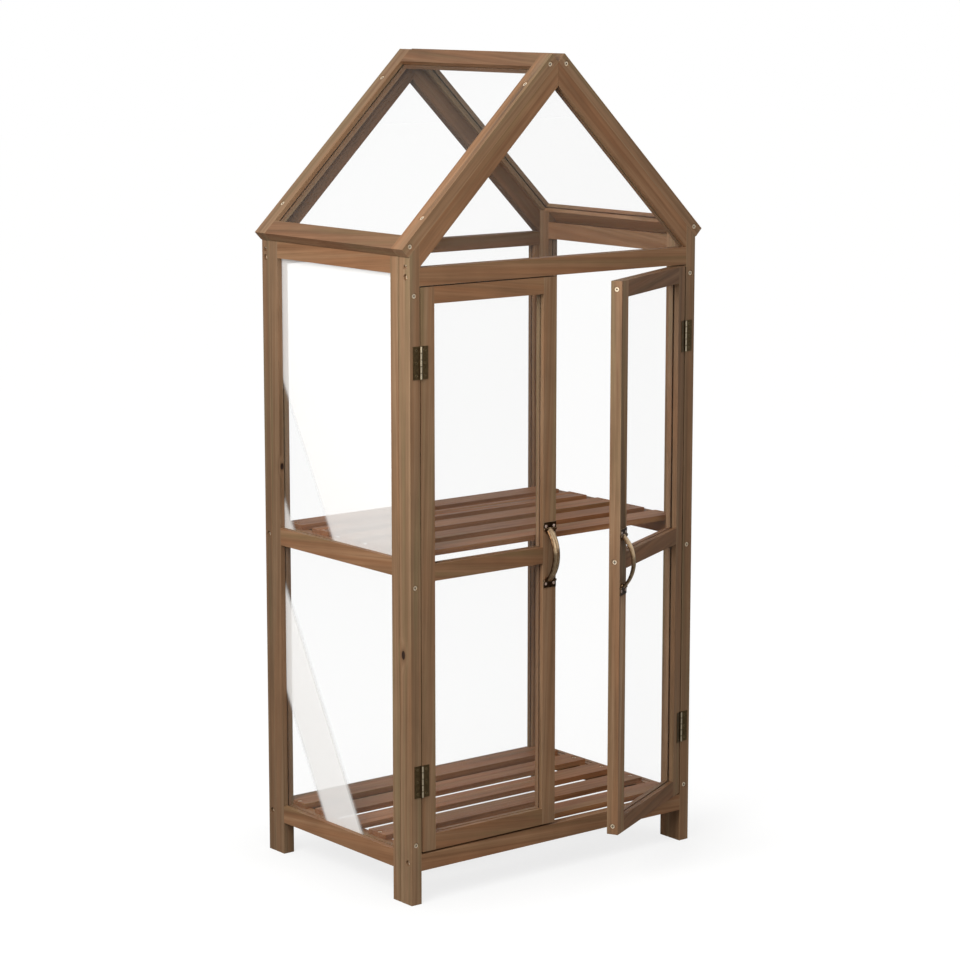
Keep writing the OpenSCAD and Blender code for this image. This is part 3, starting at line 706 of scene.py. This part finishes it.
def speckled_metal(name, pale, dull, spot, rough=(0.28, 0.46), metallic=1.0):
    """A plated or lacquered metal, blotchy where the coat is thin."""
    material, tree, out = new_material(name)
    place = add(tree, "TexCoord").outputs["Object"]
    cloud = add(tree, "TexNoise", {"Vector": place, "Scale": 1 / spot,
                                   "Detail": 3.0}).outputs["Fac"]
    colour = ramp(tree, cloud, [(0.35, pale), (0.65, dull)])
    skin = add(tree, "BsdfPrincipled", {"Base Color": colour, "Metallic": metallic,
                                        "Roughness": span(tree, cloud, 0.3, 0.7, *rough)})
    tree.links.new(skin.outputs[0], out.inputs["Surface"])
    return material


def screw_head(radius):
    """A countersunk head with a cross recess, its face up at the origin; the recess is slot 1."""
    head = bmesh.new()

    def ring(scale, height):
        turns = [2 * math.pi * i / HEAD_SIDES for i in range(HEAD_SIDES)]
        r, z = scale * radius, height * radius
        return [head.verts.new((r * math.cos(t), r * math.sin(t), z)) for t in turns]

    def cross(share, height):
        w, r = CROSS_WIDTH * share, CROSS_REACH * share
        corner = [(r, -w), (r, w), (w, w)]
        quarters = ((1, 0), (0, 1), (-1, 0), (0, -1))
        points = [(x * c - y * d, x * d + y * c) for c, d in quarters for x, y in corner]
        return [head.verts.new((x * radius, y * radius, height * radius)) for x, y in points]

    def loop(verts):
        return [head.edges.new((a, b)) for a, b in zip(verts, verts[1:] + verts[:1])]

    def skirt(upper, lower, slot=0):
        for a, b, c, d in zip(upper, upper[1:] + upper[:1], lower[1:] + lower[:1], lower):
            head.faces.new((a, d, c, b)).material_index = slot

    face, rim = ring(1 - RIM, 0), ring(1, -RIM)
    neck, tip = ring(SHANK, -RIM - (1 - SHANK)), ring(SHANK, -SHANK_END)
    mouth, floor_ring = cross(1, 0), cross(CROSS_TAPER, -CROSS_DEPTH)
    bmesh.ops.triangle_fill(head, use_beauty=True, edges=loop(face) + loop(mouth))
    skirt(face, rim)
    skirt(rim, neck)
    skirt(neck, tip)
    skirt(mouth, floor_ring, 1)
    head.faces.new(floor_ring).material_index = 1
    head.faces.new(tip)
    bmesh.ops.recalc_face_normals(head, faces=head.faces)
    mesh = bpy.data.meshes.new("screw_head")
    head.to_mesh(mesh)
    head.free()
    return mesh


def find_screw(points):
    """Where a screw's head is, which way it faces, and its radius, from the points of its solid."""
    middle = points.mean(axis=0)
    axis = np.linalg.svd(points - middle, full_matrices=False)[2][0]
    along = (points - middle) @ axis
    radial = np.linalg.norm(points - middle - np.outer(along, axis), axis=1)
    widest = radial.argmax()
    sign = 1 if along[widest] > 0 else -1
    face = middle + axis * sign * (along * sign).max()
    return Vector(face), Vector(axis * sign), float(radial[widest])


# %% [markdown]
# Each screw's solid tells where its head goes: the points lie along one axis, and the widest of
# them are at the head. The head's size and its distance from the hinges tell what the screw
# holds, and with that its metal. The screws of one body and one metal make one piece.

# %% Replace the screws
# Painted shade in the cross recess of each head.
recess_shade = speckled_metal("painted_recess_shade", RECESS_SHADE_BLACK, RECESS_SHADE_BLACK, MM, (0.6, 0.8), metallic=0.0)
SCREW_METALS = {
    "wood": speckled_metal("yellow_zinc", "#fbeed8", "#e2c49c", PLATING_SPOT, metallic=0.5),
    "hinge": speckled_metal("bronze_screws", "#97835f", "#6e5c42", PLATING_SPOT),
    "handle": speckled_metal("pink_brass_screws", "#ffe9da", "#e4bfa8", PLATING_SPOT, metallic=0.4),
}
BIG_HEAD = 3 * MM
NEAR_PIN = 20 * MM
NEAR_HINGE = 30 * MM
low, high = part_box("post_hinge_leaves")
hinge_middles = (low.z + NEAR_HINGE, high.z - NEAR_HINGE)


def screw_kind(at, radius):
    """What a screw holds, from its size and its place."""
    if radius > BIG_HEAD:
        return "wood"
    from_pin = math.hypot(abs(at.x) - PIN_X, at.y - PIN_Y)
    beside_hinge = min(abs(at.z - z) for z in hinge_middles) < NEAR_HINGE
    return "hinge" if from_pin < NEAR_PIN and beside_hinge else "handle"


for node_name in [name for name, slot in SLOTS.items() if slot == "screw"]:
    sets = {kind: bmesh.new() for kind in SCREW_METALS}
    for count, points in enumerate(islands(frame["nodes"][node_name].data)):
        at, facing, radius = find_screw(np.array(points))
        head = screw_head(radius * HEAD_PLAY)
        turn = facing.to_track_quat("Z", "Y").to_matrix().to_4x4()
        head.transform(Matrix.Translation(at) @ turn @ Matrix.Rotation(count * GOLDEN, 4, "Z"))
        sets[screw_kind(at, radius)].from_mesh(head)
        bpy.data.meshes.remove(head)
    for kind, solid in sets.items():
        if solid.verts:
            mesh = bpy.data.meshes.new(f"{node_name}_{kind}")
            solid.to_mesh(mesh)
            mesh.materials.append(SCREW_METALS[kind])
            mesh.materials.append(recess_shade)
            piece = new_object(mesh.name, mesh)
            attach(piece, BODY_OF[node_name])
            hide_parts(node_name)
            print(mesh.name, "verts", len(mesh.vertices))
        solid.free()

# %% [markdown]
# The handles are cast and then darkened: antique brass, worn bright along the crown of the bow
# and on the arrises, and left brown at its edges and on the plates. A highlight is also painted
# on the crown and the arrises, and painted shade darkens the edges of the bow. A crowned strap
# bends out in an arc from one plate to the other, and a coved web spreads it onto each plate.

# %% Handles
PLATE_HEIGHT = 13.5 * MM
PLATE_THICK = 1.35 * MM      # the faces of the screws stand a hair proud of the plates
PLATE_EASE = 0.4 * MM
BOW_WIDTH = 15.5 * MM
BOW_THICK = 4 * MM
BOW_BACK = 0.4 * BOW_WIDTH   # half of the flat back, which is narrower than the crown
BOW_INSIDE = 0.05 * MM       # the crown stays this far inside the solid's box
WEB_THICK = 3 * MM
WEB_LAP = PLATE_HEIGHT / 4   # how far a web reaches onto its plate
# Shine of each part: worn brass with a painted highlight on the crown and arrises, and painted
# shade at the edges of the bow.
CROWN_SHINE = 1.0            # 0 is brown, 1 is bright
EDGE_SHINE = 0.5
HOLLOW_SHINE = 0.1
WEB_SHINE = 0.55
PLATE_SHINE = 0.44
ARRIS_SHINE = 0.8
CAST_SPOT = 6 * MM
BOW_STEPS = 48
CROWN_STEPS = 12
BRASS_BRIGHT = "#dfc29c"
BRASS_MID = "#6b4f36"
BRASS_BROWN = "#20140d"


def antique_brass():
    """Cast brass with a brown patina, worn bright on the crown, where a highlight is also painted.
    """
    material, tree, out = new_material("antique_brass")
    place = add(tree, "TexCoord").outputs["Object"]
    crown = add(tree, "Attribute", attribute_name="crown").outputs["Fac"]
    cloud = add(tree, "TexNoise", {"Vector": place, "Scale": 1 / CAST_SPOT,
                                   "Detail": 4.0}).outputs["Fac"]
    uneven = add(tree, "Math", {0: crown, 1: span(tree, cloud, 0.2, 0.8, -0.15, 0.15)}).outputs[0]
    colour = ramp(tree, uneven, [(0.35, BRASS_BROWN), (0.65, BRASS_MID), (1.0, BRASS_BRIGHT)])
    dents = add(tree, "Bump", {"Height": cloud, "Strength": 0.2, "Distance": 0.2 * MM})
    skin = add(tree, "BsdfPrincipled", {"Base Color": colour, "Metallic": 1.0,
                                        "Roughness": span(tree, uneven, 0, 1, 0.45, 0.26),
                                        "Normal": dents.outputs[0]})
    tree.links.new(skin.outputs[0], out.inputs["Surface"])
    return material


def bow_sections(half, reach):
    """The bow's cross sections from its lower foot to its upper one: across, out, up and shine."""
    out_flat = reach - BOW_THICK
    back = (half * half - out_flat * out_flat) / (2 * out_flat)
    inner = back + out_flat
    sweep = math.acos(back / (inner + BOW_THICK))
    crown_radius = (BOW_WIDTH ** 2 / 4 + BOW_THICK ** 2) / (2 * BOW_THICK)
    lean = math.asin(BOW_WIDTH / 2 / crown_radius)
    profile = []
    for step in range(CROWN_STEPS + 1):
        tilt = lean * (2 * step / CROWN_STEPS - 1)
        radius = inner + BOW_THICK - crown_radius * (1 - math.cos(tilt))
        # Brighter towards the middle of the crown: wear and a painted highlight.
        wear_and_highlight = math.cos(tilt / lean * math.pi / 2)
        shine = EDGE_SHINE + (CROWN_SHINE - EDGE_SHINE) * wear_and_highlight
        profile.append((crown_radius * math.sin(tilt), radius, shine))
    profile += [(side, inner, HOLLOW_SHINE) for side in (BOW_BACK, -BOW_BACK)]
    turns = [sweep * (2 * step / BOW_STEPS - 1) for step in range(BOW_STEPS + 1)]
    return [[(u, r * math.cos(turn) - back, r * math.sin(turn), s) for u, r, s in profile]
            for turn in turns]


def foot_outlines(half_width, half_height):
    """The outlines of the coved web and of the plate at the upper foot: across and up."""
    half = half_height - PLATE_HEIGHT
    cove = half_width - BOW_WIDTH / 2
    arc = [math.radians(a) for a in range(0, 91, 10)]
    web = [(half_width - cove * math.cos(a), half - cove + cove * math.sin(a)) for a in arc]
    web.append((half_width, half + WEB_LAP))
    web += [(-u, z) for u, z in reversed(web)]
    plate = [(half_width, half), (half_width, half_height),
             (-half_width, half_height), (-half_width, half)]
    return web, plate


def bow_handle(name, half_width, half_height, reach, centre):
    """One handle in the closed door's place: a swept bow, two plates and two coved webs."""
    handle = bmesh.new()
    crown = handle.verts.layers.float.new("crown")

    def vert(across, outward, up, shine):
        made = handle.verts.new((centre.x + across, centre.y - max(outward, 0.0), centre.z + up))
        made[crown] = shine
        return made

    def slab(outline, thick, shine, up):
        front = [vert(u, thick, z * up, shine) for u, z in outline]
        rear = [vert(u, 0, z * up, shine) for u, z in outline]
        face = handle.faces.new(front)
        handle.faces.new(rear)
        for quad in zip(front, front[1:] + front[:1], rear[1:] + rear[:1], rear):
            handle.faces.new(quad)
        bevelled = bmesh.ops.bevel(handle, geom=list(face.edges), offset=PLATE_EASE, segments=3,
                                   profile=0.5, affect="EDGES")
        for strip in bevelled["faces"]:
            strip.smooth = True
        for v in bevelled["verts"]:
            v[crown] = shine if v.co.y < centre.y - thick + ON_EDGE / 2 else ARRIS_SHINE

    sections = bow_sections(half_height - PLATE_HEIGHT, reach)
    rows = [[vert(*point) for point in section] for section in sections]
    for low, high in zip(rows, rows[1:]):
        for a, b, c, d in zip(low, low[1:] + low[:1], high[1:] + high[:1], high):
            handle.faces.new((a, b, c, d)).smooth = True
    handle.faces.new(rows[0])
    handle.faces.new(rows[-1])

    web, plate = foot_outlines(half_width, half_height)
    for outline, thick, shine in ((web, WEB_THICK, WEB_SHINE), (plate, PLATE_THICK, PLATE_SHINE)):
        slab(outline, thick, shine, 1)
        slab(outline, thick, shine, -1)
    bmesh.ops.recalc_face_normals(handle, faces=handle.faces)
    mesh = bpy.data.meshes.new(name)
    handle.to_mesh(mesh)
    handle.free()
    return mesh


brass = antique_brass()
low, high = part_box("left_door_handle")
half_width, half_height = (high.x - low.x) / 2, (high.z - low.z) / 2
reach = high.y - low.y - BOW_INSIDE
opened = math.radians(-JOINTS["right_door"]["range_deg"][0])
pivot = Vector(JOINTS["right_door"]["pos_m"])
swing = Matrix.Translation(pivot) @ Matrix.Rotation(opened, 4, "Z") @ Matrix.Translation(-pivot)
for side, place in (("left", Matrix.Identity(4)), ("right", swing)):
    middle = (low.x + high.x) / 2 * (1 if side == "left" else -1)
    mesh = bow_handle(f"{side}_bow_handle", half_width, half_height, reach,
                      Vector((middle, high.y, (low.z + high.z) / 2)))
    mesh.transform(place)
    mesh.materials.append(brass)
    piece = new_object(mesh.name, mesh)
    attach(piece, f"{side}_door")
    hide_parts(f"{side}_door_handle")
print("handle half width", half_width, "half height", half_height, "reach", reach)

# %% [markdown]
# The last cell sets the colour view to Standard.

# %% Finish
bpy.context.scene.view_settings.view_transform = "Standard"
